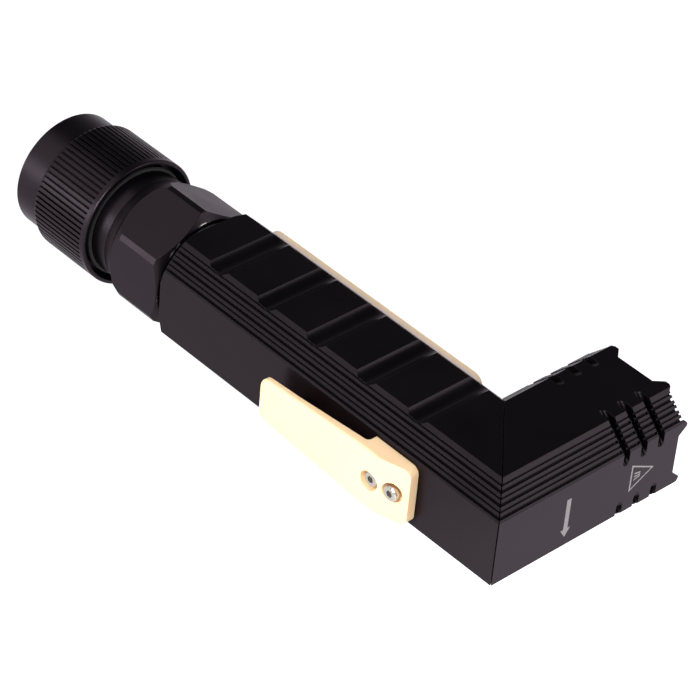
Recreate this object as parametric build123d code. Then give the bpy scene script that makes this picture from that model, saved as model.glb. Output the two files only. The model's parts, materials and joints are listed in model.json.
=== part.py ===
"""Right-angle torch with a head that twists on a 45 degree joint.

Frame: the origin is the centre of the flat tail face. +X runs along the body to the elbow,
+Y runs from the elbow to the front lens, +Z is up, with the finger grooves on top.
All sizes are in millimetres. "Inner" is the side inside the elbow, "outer" the side outside it.
"""
from build123d import *
import math
import os

# ---- body and head section -------------------------------------------------------------
WIDTH = 28.0                # inner side to outer side
HEIGHT = 27.0               # underside to top
CORNER = 5.5                # leg of the 45 degree cut on each long corner
BODY_LENGTH = 89.2          # rear end of the square body to the centre of the elbow
HEAD_LENGTH = 38.7          # centre of the elbow to the end of the bezel's corners
SEAM = 0.2                  # open seam between body and head

# ---- cell and bores --------------------------------------------------------------------
CELL_RADIUS = 9.2
CELL_LENGTH = 65.0
CELL_CLEARANCE = 0.4        # round the cell
CELL_CAP_RADIUS = 3.2
CELL_CAP_HEIGHT = 1.2
INNER_BORE_RADIUS = 8.0     # forward of the driver board, in body and head
MITRE_WALL = 3.2            # metal between the elbow's cut faces and the bores
SWIVEL_POCKET_WALL = 0.5    # room round the swivel nut

# ---- tail cap --------------------------------------------------------------------------
CAP_LENGTH = 25.5
CAP_WALL = 2.35             # over the thread
CAP_LIP_LENGTH = 7.9
CAP_LIP_STEP = 1.3          # the smooth lip is this much smaller in radius than the knurl
CAP_END_WALL = 6.0
CAP_MOUTH_DEPTH = 4.2
CAP_MOUTH_WALL = 0.85
CAP_EDGE = 0.8
CAP_TRAVEL_CLEARANCE = 0.3  # between cap bore and neck
KNURL_COUNT = 76
KNURL_WIDTH = 0.5
KNURL_DEPTH = 0.45
KNURL_MARGIN = 1.5          # smooth band between the knurl and the mouth
SWITCH_POCKET_DEPTH = 4.5
SWITCH_POCKET_RADIUS = 9.4

# ---- tail magnet, button and switch ----------------------------------------------------
BUTTON_RADIUS = 6.0
BUTTON_CLEARANCE = 0.3
BUTTON_TRAVEL = 1.5
BUTTON_WALL = 1.4
BUTTON_SKIRT = 4.0          # length of the rubber boot's skirt
BUTTON_EDGE = 0.6
MAGNET_GAP = 1.1            # metal between button hole and magnet
MAGNET_WIDTH = 4.2
MAGNET_THICKNESS = 3.0
PLUNGER_RADIUS = 2.2
SEAL_FLANGE_THICKNESS = 1.0
SWITCH_FLANGE_THICKNESS = 1.2
SWITCH_BODY_RADIUS = 7.2
SWITCH_BODY_LENGTH = 6.6
SWITCH_RING_CLEARANCE = 0.1
SWITCH_BOARD_THICKNESS = 1.0
TAIL_SPRING_RADIUS = 4.0
SPRING_WIRE = 0.45
TAIL_SPRING_TURNS = 4
TAIL_SPRING_LENGTH = 6.4
SPRING_GAP = 0.1            # between the tail spring and the cell

# ---- rear collar and neck --------------------------------------------------------------
NECK_WALL = 3.15            # outside the cell bore
NECK_START = 11.0           # tail end of the neck, from the tail face
COLLAR_START = 29.4         # where the neck meets the collar's slope
COLLAR_LENGTH = 18.6
COLLAR_FLATS = 27.0         # across flats of the hexagon
COLLAR_CORNERS = 15.2       # its corners are turned to this radius
COLLAR_SLOPE = (2.6, 0.55)  # run and rise of the shallow slope from the neck
COLLAR_BEVEL = 1.4          # 45 degree bevel after it
COLLAR_EASE = 1.7           # run of the shallow cut from the bevel to the corners
COLLAR_FRONT_RADIUS = 13.2  # end face towards the body
COLLAR_GAP = 1.8            # open gap between collar and body, with the seal at the bottom
SEAL_DEPTH = 1.3            # seal below the body's faces
TURNED_EDGE_RUN = 0.7       # axial run of a turned edge for each millimetre of radius
BODY_EDGE_DEPTH = 0.9       # how far the turned edge reaches inside the body's corner faces
SPIGOT_WALL = 1.3
SPIGOT_LENGTH = 8.0
THREAD_PITCH = 1.4
THREAD_DEPTH = 0.45
THREAD_RUN = 9.0
CAP_SEAL_SECTION = 0.7      # radius of the rubber ring's section
CAP_SEAL_STATION = 24.3

# ---- ribbed corners, finger grooves ----------------------------------------------------
RIB_FIRST = 0.17            # first groove, as a share of the corner face from the flat face
RIB_PITCH = 0.144
RIB_FINE = (0.34, 0.5)      # width, depth
RIB_COARSE = (0.58, 0.95)
RIB_PAIRS = 3
GRIP_COUNT = 5
GRIP_WIDTH = 5.6
GRIP_DEPTH = 1.15
GRIP_FROM_REAR = 12.1
GRIP_FROM_ELBOW = 15.8

# ---- pocket clip and side strip --------------------------------------------------------
CLIP_LENGTH = 43.0
CLIP_TO_ELBOW = 8.6         # clip's front end to the elbow's centre, along X
CLIP_ROOT_HALF = 7.1        # half its height at the root
CLIP_TIP_HALF = 5.2
CLIP_STAND = 4.7            # outer face from the body
CLIP_END_THICKNESS = 2.15
CLIP_SLOPE_LENGTH = 8.4
CLIP_BLOCK_LENGTH = 12.6
CLIP_ROOT_THICKNESS = 2.4
CLIP_TIP_THICKNESS = 1.7
CLIP_ROOT_RADIUS = 1.0
CLIP_TIP_RADIUS = 2.4       # corners of the tip, seen from the side
CLIP_FRONT_RADIUS = 1.8     # corners of the front end, seen from the side
CLIP_EDGE = 0.9
CLIP_BUMP_FROM_TIP = 7.4
CLIP_BUMP_WIDTH = 3.0
CLIP_BUMP_GAP = 0.5
CLIP_BUMP_HALF = 2.4        # half its height
SCREW_PITCH = 5.6
SCREW_FROM_END = 3.7
SCREW_HEAD_RADIUS = 1.8
SCREW_HEAD_HEIGHT = 2.0
SCREW_SHANK_RADIUS = 1.0
SCREW_GRIP = 3.6            # thread length in the body
SCREW_HEX = 1.5             # across flats
SCREW_HEX_DEPTH = 1.1
COUNTERBORE_RADIUS = 2.3
COUNTERBORE_FLOOR = 2.05    # plastic left under the screw head
STRIP_HALF = 7.6
STRIP_THICKNESS = 2.6
STRIP_FROM_REAR = 1.6
STRIP_FROM_ELBOW = 21.4
STRIP_RADIUS = 3.0
STRIP_EDGE = 0.9

# ---- driver ----------------------------------------------------------------------------
FRONT_SPRING_RADIUS = 2.6
FRONT_SPRING_LENGTH = 4.4
FRONT_SPRING_TURNS = 3
BOARD_THICKNESS = 1.6
BOARD_CLEARANCE = 0.3
DRIVER_RING_LENGTH = 2.4
DRIVER_RING_WALL = 2.6
COIL_RADIUS = 3.2
COIL_HEIGHT = 3.4
CHIP_SIZE = (1.6, 5.0, 4.0)
CAPACITOR_RADIUS = 1.5
CAPACITOR_HEIGHT = 4.0
LEAD_RADIUS = 0.9
LEAD_BEND = 7.0
LEAD_ROOM = 1.2             # round the leads in their holes
LEAD_TURN_AT = 8.4          # depth along the swivel axis where the leads turn

# ---- swivel joint ----------------------------------------------------------------------
TUBE_RADIUS = 3.6
TUBE_WALL = 1.6
TUBE_FLANGE = (5.4, 1.5)    # radius, thickness
TUBE_TAIL = 0.3             # tube end past the nut
BUSH_WALL = 0.8
BUSH_CLEARANCE = 0.05
BUSH_FLANGE_STEP = 0.8
BUSH_FLANGE_THICKNESS = 0.7
BUSH_PROUD = 0.1            # bush face above the body's cut face
WASHER_THICKNESS = 0.7
WASHER_CLEARANCE = 0.3
NUT_RADIUS = 5.6
NUT_THICKNESS = 2.4
NUT_GAP = 0.05
NUT_SLOT = (1.4, 0.9)       # width, depth
POCKET_DEPTH = 8.2          # swivel pockets, from the elbow's centre
SWIVEL_SEAL_SECTION = 0.6
SWIVEL_SEAL_STEP = 0.5      # land between bush flange, seal and detent
BALL_RADIUS = 0.9
BALL_CLEARANCE = 0.1
BALL_PROUD = 0.35           # ball above the body's cut face
BALL_HOLE_DEPTH = 5.2
TRACK_DEPTH = 0.5
TRACK_CLEARANCE = 0.3
DIMPLE_RADIUS = 1.3
DETENT_WIRE = 0.18
DETENT_TURNS = 4

# ---- head ------------------------------------------------------------------------------
OPTICS_RADIUS = 11.0
CARRIER_THICKNESS = 4.0
CARRIER_SEAT_MARGIN = 0.8   # carrier seat past the point where the bore leaves the elbow wall
LED_BOARD_RADIUS = 8.0
LED_BOARD_THICKNESS = 1.6
BOARD_SCREW_PITCH = 12.0
BOARD_SCREW_HEAD = (1.5, 1.0)
BOARD_SCREW_SHANK = 0.8
EMITTER_SIZE = 5.0
EMITTER_THICKNESS = 0.8
DOME_RADIUS = 2.0
GASKET_RADIUS = 4.4
GASKET_THICKNESS = 1.0
GASKET_WINDOW = 2.9
REFLECTOR_MOUTH = 9.9
REFLECTOR_THROAT = 2.5
REFLECTOR_RIM = 0.9
REFLECTOR_CLEARANCE = 0.1
LENS_THICKNESS = 1.8
LENS_SEAL_SECTION = 0.45
LENS_RING_LENGTH = 1.4
LENS_RING_WALL = 1.5
LENS_RING_SETBACK = 0.3     # ring face below the scallops
FIN_COUNT = 3
FIN_PITCH = 5.05
FIN_FIRST = 22.1            # first corner slot from the elbow's centre
FIN_WIDTH = 1.8
FIN_DEPTH = 2.3
TOOTH_RISE = 1.15           # tooth tips above the bezel's corners
SCALLOP_DEPTH = 0.95        # scallops below the bezel's corners
SCALLOP_FLAT = 4.9
SCALLOP_TIP = 6.7
CORNER_NOTCH_FLAT = 3.2
CORNER_NOTCH_TIP = 4.4

# ---- derived sizes ---------------------------------------------------------------------
FROM_BASE = (Align.CENTER, Align.CENTER, Align.MIN)
FROM_TOP = (Align.CENTER, Align.CENTER, Align.MAX)
ROOT2 = math.sqrt(2)
BIG = 4 * (WIDTH + HEIGHT)  # larger than anything that is cut

cell_bore = CELL_RADIUS + CELL_CLEARANCE
neck_radius = cell_bore + NECK_WALL
cap_bore = neck_radius + CAP_TRAVEL_CLEARANCE
cap_radius = cap_bore + CAP_WALL
cap_lip_radius = cap_radius - CAP_LIP_STEP
cap_mouth_radius = cap_radius - CAP_MOUTH_WALL
spigot_radius = cell_bore + SPIGOT_WALL
collar_end = COLLAR_START + COLLAR_LENGTH
body_rear = collar_end + COLLAR_GAP
elbow_x = body_rear + BODY_LENGTH
corner_face = (WIDTH + HEIGHT - 2 * CORNER) / 2 / ROOT2   # corner face from the axis

switch_front = CAP_END_WALL + SEAL_FLANGE_THICKNESS + SWITCH_FLANGE_THICKNESS
switch_ring_end = CAP_END_WALL + SWITCH_POCKET_DEPTH
switch_end = switch_front + SWITCH_BODY_LENGTH
tail_board_end = switch_end + SWITCH_BOARD_THICKNESS
cell_start = tail_board_end + TAIL_SPRING_LENGTH + SPRING_GAP
cell_end = cell_start + CELL_LENGTH
driver_board_start = cell_end + CELL_CAP_HEIGHT + FRONT_SPRING_LENGTH
driver_shoulder = driver_board_start + BOARD_THICKNESS
driver_board_radius = cell_bore - BOARD_CLEARANCE
inner_bore_reach = INNER_BORE_RADIUS + MITRE_WALL * ROOT2  # bore ends this far from the elbow

half_seam = SEAM / 2
wall_back = half_seam + MITRE_WALL          # inside of the elbow wall, along the swivel axis
bush_radius = TUBE_RADIUS + BUSH_CLEARANCE + BUSH_WALL
bush_flange = bush_radius + BUSH_FLANGE_STEP
swivel_seal = bush_flange + SWIVEL_SEAL_STEP + SWIVEL_SEAL_SECTION
ball_hole = BALL_RADIUS + BALL_CLEARANCE
detent_at = swivel_seal + SWIVEL_SEAL_SECTION + SWIVEL_SEAL_STEP + ball_hole
swivel_pocket = NUT_RADIUS + SWIVEL_POCKET_WALL
nut_start = wall_back + WASHER_THICKNESS + NUT_GAP
nut_end = nut_start + NUT_THICKNESS

carrier_back = OPTICS_RADIUS + wall_back * ROOT2 + CARRIER_SEAT_MARGIN
carrier_front = carrier_back + CARRIER_THICKNESS
led_board_front = carrier_front + LED_BOARD_THICKNESS
gasket_front = led_board_front + GASKET_THICKNESS
bezel_floor = HEAD_LENGTH - SCALLOP_DEPTH
lens_ring_front = bezel_floor - LENS_RING_SETBACK
lens_ring_back = lens_ring_front - LENS_RING_LENGTH
lens_front = lens_ring_back - 2 * LENS_SEAL_SECTION
lens_back = lens_front - LENS_THICKNESS

# Local frames: z runs along each axis, y is up, and x points to the inner side.
BODY = Plane((0, 0, 0), x_dir=(0, 1, 0), z_dir=(1, 0, 0)).location
HEAD = Plane((elbow_x, 0, 0), x_dir=(-1, 0, 0), z_dir=(0, 1, 0)).location
SWIVEL = Plane((elbow_x, 0, 0), x_dir=(-1, 1, 0), z_dir=(1, 1, 0)).location


# ---- helpers ---------------------------------------------------------------------------
def ring(start, end, outer, inner=0.0):
    """Disc or ring about local z."""
    solid = Pos(0, 0, start) * Cylinder(outer, end - start, align=FROM_BASE)
    if inner:
        solid -= Pos(0, 0, start) * Cylinder(inner, end - start, align=FROM_BASE)
    return solid


def turned(points):
    """Lathe part about local z, from a closed outline of (station, radius) points."""
    outline = Polyline(*[(radius, 0, station) for station, radius in points], close=True)
    return revolve(make_face(outline), Axis.Z)


def section(width, height, corner):
    """Rectangle with its four corners cut at 45 degrees."""
    return chamfer(Rectangle(width, height).vertices(), corner)


def beyond_seam(side):
    """Everything past one cut face of the elbow; side is +1 for the head, -1 for the body."""
    align = FROM_BASE if side < 0 else FROM_TOP
    return SWIVEL * Pos(0, 0, side * half_seam) * Box(BIG, BIG, BIG, align=align)


def rib_cutter(start, end):
    """Fine and coarse grooves along the four long corners."""
    length = end - start
    cuts = []
    for side in (-1, 1):
        for up in (-1, 1):
            for index in range(2 * RIB_PAIRS):
                width, depth = RIB_COARSE if index % 2 else RIB_FINE
                across = (RIB_FIRST + RIB_PITCH * index) * CORNER
                spot = Pos(side * (WIDTH / 2 - CORNER + across), up * (HEIGHT / 2 - across), start)
                turn = Rot(0, 0, -45 * side * up)
                cuts.append(spot * turn * Box(width, 2 * depth, length, align=FROM_BASE))
    return cuts


def edge_cutter(station, radius):
    """Turned edge that trims the corners of a section lying forward of the station."""
    reach = BIG / 4
    run = (reach - radius) * TURNED_EDGE_RUN
    return turned([(station, radius), (station, reach), (station + run, reach)])


def coil(start, end, radius, wire, turns):
    """Round wire spring about local z."""
    height = end - start - 2 * wire
    path = Pos(0, 0, start + wire) * Helix(pitch=height / turns, height=height, radius=radius)
    profile = Plane(path @ 0, z_dir=path % 0) * Circle(wire)
    return sweep(profile, path, is_frenet=True)


def rubber_ring(station, radius, thickness):
    """O-ring about local z."""
    return Pos(0, 0, station) * Torus(radius, thickness)


# ---- body ------------------------------------------------------------------------------
def swivel_housing(shell, side):
    """Cut one half's swivel pocket and lead hole; side is +1 for the head, -1 for the body."""
    low, high = sorted((side * wall_back, side * POCKET_DEPTH))
    shell -= SWIVEL * ring(low, high, swivel_pocket)
    frame = HEAD if side > 0 else BODY * Pos(0, 0, elbow_x)
    turn = LEAD_TURN_AT / ROOT2
    low, high = sorted((side * (turn - 2 * LEAD_RADIUS), side * (inner_bore_reach + 1.0)))
    return shell - frame * Pos(-turn, 0, 0) * ring(low, high, LEAD_RADIUS + LEAD_ROOM)


def make_body_shell():
    """Square body: bores, ribbed corners, finger grooves and the cut face of the elbow."""
    blank = extrude(Pos(0, 0, body_rear) * section(WIDTH, HEIGHT, CORNER), elbow_x + WIDTH - body_rear)
    blank -= rib_cutter(body_rear, elbow_x + WIDTH)
    blank -= edge_cutter(body_rear, corner_face - BODY_EDGE_DEPTH)
    blank -= ring(body_rear, body_rear + SPIGOT_LENGTH, spigot_radius)
    blank -= ring(body_rear, driver_shoulder, cell_bore)
    blank -= ring(driver_shoulder, elbow_x - inner_bore_reach, INNER_BORE_RADIUS)
    shell = BODY * blank - beyond_seam(-1)

    first = body_rear + GRIP_FROM_REAR
    pitch = (BODY_LENGTH - GRIP_FROM_REAR - GRIP_FROM_ELBOW) / (GRIP_COUNT - 1)
    radius = (GRIP_WIDTH ** 2 / 4 + GRIP_DEPTH ** 2) / (2 * GRIP_DEPTH)
    for index in range(GRIP_COUNT):
        for up in (-1, 1):
            level = up * (HEIGHT / 2 - GRIP_DEPTH + radius)
            shell -= Pos(first + pitch * index, 0, level) * Rot(90, 0, 0) * Cylinder(radius, 2 * WIDTH)

    shell = swivel_housing(shell, -1)
    shell -= SWIVEL * ring(-wall_back, 0, bush_radius)
    shell -= SWIVEL * ring(-half_seam + BUSH_PROUD - BUSH_FLANGE_THICKNESS, 0, bush_flange)
    shell -= SWIVEL * ring(-half_seam - 2 * SWIVEL_SEAL_SECTION, 0,
                           swivel_seal + SWIVEL_SEAL_SECTION, swivel_seal - SWIVEL_SEAL_SECTION)
    shell -= SWIVEL * Pos(0, detent_at, 0) * ring(-half_seam - BALL_HOLE_DEPTH, 0, ball_hole)
    for spot in clip_screw_spots():
        shell -= spot * ring(-SCREW_GRIP, 0, SCREW_SHANK_RADIUS)
    return shell


def make_rear_collar():
    """Hexagonal collar with a threaded neck for the cap and a spigot for the body."""
    slope_run, slope_rise = COLLAR_SLOPE
    bevel_start = (COLLAR_START + slope_run, neck_radius + slope_rise)
    bevel_end = (bevel_start[0] + COLLAR_BEVEL, bevel_start[1] + COLLAR_BEVEL)
    front_run = (COLLAR_CORNERS - COLLAR_FRONT_RADIUS) * TURNED_EDGE_RUN
    lathe = turned([
        (COLLAR_START, 0), (COLLAR_START, neck_radius), bevel_start, bevel_end,
        (bevel_end[0] + COLLAR_EASE, COLLAR_CORNERS), (collar_end - front_run, COLLAR_CORNERS),
        (collar_end, COLLAR_FRONT_RADIUS), (collar_end, 0)])
    hexagon = RegularPolygon(COLLAR_FLATS / 2, 6, major_radius=False, rotation=30)
    collar = lathe & extrude(Pos(0, 0, COLLAR_START) * hexagon, COLLAR_LENGTH)
    collar += ring(NECK_START, COLLAR_START + 1.0, neck_radius)
    collar += ring(collar_end, body_rear + SPIGOT_LENGTH, spigot_radius)
    for index in range(int(THREAD_RUN / THREAD_PITCH)):
        start = NECK_START + THREAD_PITCH * (index + 0.5)
        collar -= ring(start, start + THREAD_PITCH / 2, neck_radius, neck_radius - THREAD_DEPTH)
    collar -= ring(CAP_SEAL_STATION - CAP_SEAL_SECTION, CAP_SEAL_STATION + CAP_SEAL_SECTION,
                   neck_radius, neck_radius - 1.2 * CAP_SEAL_SECTION)
    collar -= ring(NECK_START, body_rear + SPIGOT_LENGTH, cell_bore)
    return BODY * collar


def make_collar_seal():
    """Flat black ring at the bottom of the gap between collar and body."""
    return BODY * ring(collar_end, body_rear, min(WIDTH, HEIGHT) / 2 - SEAL_DEPTH, spigot_radius)


def make_cap_seal():
    """Rubber ring in the neck's groove."""
    radius = neck_radius - 0.2 * CAP_SEAL_SECTION
    return BODY * rubber_ring(CAP_SEAL_STATION, radius, CAP_SEAL_SECTION)


# ---- pocket clip and strip -------------------------------------------------------------
def clip_screw_spots():
    """Frames of the two clip screws: z points away from the body, the origin is on its side."""
    front = elbow_x - CLIP_TO_ELBOW - SCREW_FROM_END
    return [Plane((front - SCREW_PITCH * index, -WIDTH / 2, 0), x_dir=(1, 0, 0),
                  z_dir=(0, -1, 0)).location for index in range(2)]


def make_pocket_clip():
    """Moulded clip: a block held by two screws and a tapering arm with a grip bump."""
    front = elbow_x - CLIP_TO_ELBOW
    tip = front - CLIP_LENGTH
    block = front - CLIP_BLOCK_LENGTH
    side = -WIDTH / 2
    outer = side - CLIP_STAND
    bump = tip + CLIP_BUMP_FROM_TIP
    profile = Polyline(
        (front, side), (front, side - CLIP_END_THICKNESS), (front - CLIP_SLOPE_LENGTH, outer),
        (tip, outer), (tip, outer + CLIP_TIP_THICKNESS),
        (bump + CLIP_BUMP_WIDTH, outer + CLIP_TIP_THICKNESS),
        (block, outer + CLIP_ROOT_THICKNESS), (block, side), close=True)
    plan = make_face(profile)
    root = plan.vertices().filter_by(lambda v: abs(v.X - block) < 0.01 and v.Y < side - 0.1)
    thick = extrude(fillet(root, CLIP_ROOT_RADIUS), CLIP_ROOT_HALF, both=True)

    outline = Polyline(
        (front, -CLIP_ROOT_HALF), (front, CLIP_ROOT_HALF), (block, CLIP_ROOT_HALF),
        (tip, CLIP_TIP_HALF), (tip, -CLIP_TIP_HALF), (block, -CLIP_ROOT_HALF), close=True)
    face = make_face(outline)
    ends = face.vertices().sort_by(Axis.X)
    face = fillet(ends[:2], CLIP_TIP_RADIUS)
    face = fillet(face.vertices().sort_by(Axis.X)[-2:], CLIP_FRONT_RADIUS)
    clip = thick & (Rot(90, 0, 0) * extrude(face, BIG, both=True))
    rim = clip.faces().sort_by(Axis.Y)[0].edges()
    clip = fillet(rim.filter_by(lambda e: e.center().X < front - CLIP_SLOPE_LENGTH - 0.1), CLIP_EDGE)
    grip = make_face(Polyline(
        (bump - CLIP_BUMP_WIDTH / 2, outer + CLIP_TIP_THICKNESS / 2),
        (bump - CLIP_BUMP_WIDTH / 2, outer + CLIP_TIP_THICKNESS), (bump, side - CLIP_BUMP_GAP),
        (bump + CLIP_BUMP_WIDTH, outer + CLIP_TIP_THICKNESS),
        (bump + CLIP_BUMP_WIDTH, outer + CLIP_TIP_THICKNESS / 2), close=True))
    clip += extrude(grip, CLIP_BUMP_HALF, both=True)
    for spot in clip_screw_spots():
        clip -= spot * ring(COUNTERBORE_FLOOR, 2 * CLIP_STAND, COUNTERBORE_RADIUS)
        clip -= spot * ring(0, CLIP_STAND, SCREW_SHANK_RADIUS)
    return clip


def make_clip_screws():
    """Two socket head screws."""
    screws = []
    for spot in clip_screw_spots():
        head_top = COUNTERBORE_FLOOR + SCREW_HEAD_HEIGHT
        screw = ring(COUNTERBORE_FLOOR, head_top, SCREW_HEAD_RADIUS)
        screw = chamfer(screw.edges().sort_by(Axis.Z)[-1], 0.25)
        screw += ring(-SCREW_GRIP, COUNTERBORE_FLOOR, SCREW_SHANK_RADIUS)
        socket = RegularPolygon(SCREW_HEX / 2, 6, major_radius=False)
        screw -= extrude(Pos(0, 0, head_top - SCREW_HEX_DEPTH) * socket, SCREW_HEX_DEPTH)
        screws.append(spot * screw)
    return Compound(screws)


def make_side_strip():
    """Rounded plastic strip bonded to the body's inner side."""
    start = body_rear + STRIP_FROM_REAR
    end = elbow_x - STRIP_FROM_ELBOW
    face = RectangleRounded(end - start, 2 * STRIP_HALF, STRIP_RADIUS)
    strip = extrude(face, STRIP_THICKNESS)
    strip = fillet(strip.faces().sort_by(Axis.Z)[-1].edges(), STRIP_EDGE)
    seat = Plane(((start + end) / 2, WIDTH / 2, 0), x_dir=(1, 0, 0), z_dir=(0, 1, 0)).location
    return seat * strip


# ---- cell and driver -------------------------------------------------------------------
def make_cell():
    """Round lithium cell in its wrap."""
    cell = ring(cell_start, cell_end, CELL_RADIUS)
    return BODY * fillet(cell.edges().filter_by(GeomType.CIRCLE), 0.5)


def make_cell_cap():
    """Raised positive cap of the cell."""
    return BODY * ring(cell_end, cell_end + CELL_CAP_HEIGHT, CELL_CAP_RADIUS)


def make_front_spring():
    """Contact spring between the cell's cap and the driver board."""
    return BODY * coil(cell_end + CELL_CAP_HEIGHT, driver_board_start, FRONT_SPRING_RADIUS,
                       SPRING_WIRE, FRONT_SPRING_TURNS)


def make_driver_board():
    """Round driver board against the shoulder in the bore."""
    return BODY * ring(driver_board_start, driver_shoulder, driver_board_radius)


def make_driver_ring():
    """Threaded brass ring that holds the driver board."""
    start = driver_board_start - DRIVER_RING_LENGTH
    return BODY * ring(start, driver_board_start, cell_bore, cell_bore - DRIVER_RING_WALL)


def make_driver_components():
    """Choke, controller and two capacitors on the board's front."""
    choke = Pos(3.4, 2.2, 0) * ring(driver_shoulder, driver_shoulder + COIL_HEIGHT, COIL_RADIUS)
    choke -= Pos(3.4, 2.2, 0) * ring(driver_shoulder, driver_shoulder + COIL_HEIGHT, COIL_RADIUS / 2.5)
    thickness, long_side, short_side = CHIP_SIZE
    chip = Pos(2.6, -3.6, driver_shoulder) * Box(long_side, short_side, thickness, align=FROM_BASE)
    cans = [Pos(-2.2, y, 0) * ring(driver_shoulder, driver_shoulder + CAPACITOR_HEIGHT, CAPACITOR_RADIUS)
            for y in (-5.4, 5.4)]
    return Compound([BODY * piece for piece in (choke, chip, *cans)])


def lead(frame, board, side):
    """Round twin lead from a board along its bore, then along the swivel axis to the elbow.

    Both halves meet on the swivel axis, so they stay in line as the head turns.
    """
    offset = LEAD_TURN_AT / ROOT2
    route = FilletPolyline((-offset, 0, board), (-offset, 0, side * offset), (0, 0, 0), radius=LEAD_BEND)
    profile = Plane(route @ 0, z_dir=route % 0) * Circle(LEAD_RADIUS)
    return frame * sweep(profile, route)


def make_driver_leads():
    """Leads from the driver board to the swivel tube."""
    return lead(BODY * Pos(0, 0, elbow_x), driver_shoulder - elbow_x, -1)


# ---- swivel, body side -----------------------------------------------------------------
def make_swivel_bush():
    """Flanged plastic bearing in the body's elbow wall."""
    top = -half_seam + BUSH_PROUD
    bush = ring(-wall_back, top, bush_radius)
    bush += ring(top - BUSH_FLANGE_THICKNESS, top, bush_flange)
    return SWIVEL * (bush - ring(-wall_back, top, TUBE_RADIUS + BUSH_CLEARANCE))


def make_swivel_washer():
    """Spring washer between the elbow wall and the nut."""
    return SWIVEL * ring(-wall_back - WASHER_THICKNESS, -wall_back, NUT_RADIUS,
                         TUBE_RADIUS + WASHER_CLEARANCE)


def make_swivel_seal():
    """Rubber ring in the body's cut face."""
    return SWIVEL * rubber_ring(-half_seam - SWIVEL_SEAL_SECTION, swivel_seal, SWIVEL_SEAL_SECTION)


def make_detent_ball():
    """Steel ball that clicks into the head's dimples."""
    return SWIVEL * Pos(0, detent_at, -half_seam + BALL_PROUD - BALL_RADIUS) * Sphere(BALL_RADIUS)


def make_detent_spring():
    """Small spring behind the ball."""
    bottom = -half_seam - BALL_HOLE_DEPTH
    top = -half_seam + BALL_PROUD - BALL_RADIUS - BALL_RADIUS
    spring = coil(bottom, top, BALL_RADIUS - DETENT_WIRE, DETENT_WIRE, DETENT_TURNS)
    return SWIVEL * Pos(0, detent_at, 0) * spring


# ---- head ------------------------------------------------------------------------------
def notch(flat, tip, floor, top):
    """Bar along local y with sloping sides: flat and tip are its half widths."""
    outline = Polyline((-flat, 0, floor), (flat, 0, floor), (tip, 0, top), (-tip, 0, top), close=True)
    return extrude(make_face(outline), BIG / 2, both=True)


def corner_spots():
    """Centre of each corner face in the section's plane, with local y pointing outwards."""
    for side, up, turn in ((1, 1, -45), (-1, 1, 45), (-1, -1, 135), (1, -1, -135)):
        yield Pos(side * (WIDTH - CORNER) / 2, up * (HEIGHT - CORNER) / 2, 0) * Rot(0, 0, turn)


def make_head_shell():
    """Square head: ribs, corner slots, scalloped bezel, bores and the elbow's cut face."""
    tip = HEAD_LENGTH + TOOTH_RISE
    blank = extrude(Pos(0, 0, -WIDTH) * section(WIDTH, HEIGHT, CORNER), WIDTH + tip)
    blank -= rib_cutter(-WIDTH, tip)
    blank -= ring(carrier_back, tip, OPTICS_RADIUS)
    blank -= ring(inner_bore_reach, carrier_back, INNER_BORE_RADIUS)
    scallop = notch(SCALLOP_FLAT, SCALLOP_TIP, bezel_floor, tip)
    blank -= scallop
    blank -= Rot(0, 0, 90) * scallop
    corner = notch(CORNER_NOTCH_FLAT, CORNER_NOTCH_TIP, HEAD_LENGTH, tip)
    corner &= Box(BIG, 2 * CORNER, BIG)
    for spot in corner_spots():
        blank -= spot * corner
        for index in range(FIN_COUNT):
            slot = Box(WIDTH, BIG, FIN_WIDTH, align=(Align.CENTER, Align.MIN, Align.CENTER))
            slot += Rot(0, 90, 0) * Cylinder(FIN_WIDTH / 2, WIDTH)
            level = FIN_FIRST + FIN_PITCH * index
            blank -= spot * Pos(0, FIN_WIDTH / 2 - FIN_DEPTH, level) * slot
    shell = HEAD * blank - beyond_seam(1)
    shell = swivel_housing(shell, 1)
    shell -= SWIVEL * ring(0, wall_back, TUBE_RADIUS)
    groove = BALL_RADIUS + TRACK_CLEARANCE
    shell -= SWIVEL * ring(half_seam, half_seam + TRACK_DEPTH, detent_at + groove, detent_at - groove)
    for angle in range(0, 360, 90):
        dimple = Pos(0, detent_at, -half_seam + BALL_PROUD - BALL_RADIUS) * Sphere(DIMPLE_RADIUS)
        shell -= SWIVEL * Rot(0, 0, angle) * dimple
    return shell


def make_swivel_tube():
    """Hollow pivot: flange inside the head, thread for the nut inside the body."""
    flange_radius, flange_thickness = TUBE_FLANGE
    tube = ring(-nut_end - TUBE_TAIL, wall_back, TUBE_RADIUS)
    tube += ring(wall_back, wall_back + flange_thickness, flange_radius)
    inner = ring(-nut_end - TUBE_TAIL, wall_back + flange_thickness, TUBE_RADIUS - TUBE_WALL)
    return SWIVEL * (tube - inner)


def make_swivel_nut():
    """Slotted round nut that holds the head to the body."""
    nut = ring(-nut_end, -nut_start, NUT_RADIUS, TUBE_RADIUS)
    width, depth = NUT_SLOT
    nut -= Pos(0, 0, -nut_end) * Box(BIG, width, depth, align=FROM_BASE)
    return SWIVEL * nut


def make_head_leads():
    """Leads from the swivel tube to the LED board."""
    return lead(HEAD, carrier_front, 1)


def board_screw_spots():
    """Centres of the LED board's screws, in the head's section."""
    return [Pos(0, side * BOARD_SCREW_PITCH / 2, 0) for side in (-1, 1)]


def make_led_carrier():
    """Aluminium disc that carries the LED board and takes its heat."""
    carrier = ring(carrier_back, carrier_front, OPTICS_RADIUS)
    carrier -= Pos(-LEAD_TURN_AT / ROOT2, 0, 0) * ring(carrier_back, carrier_front, LEAD_RADIUS + 0.2)
    for spot in board_screw_spots():
        carrier -= spot * ring(carrier_back, carrier_front, BOARD_SCREW_SHANK)
    return HEAD * carrier


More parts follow.
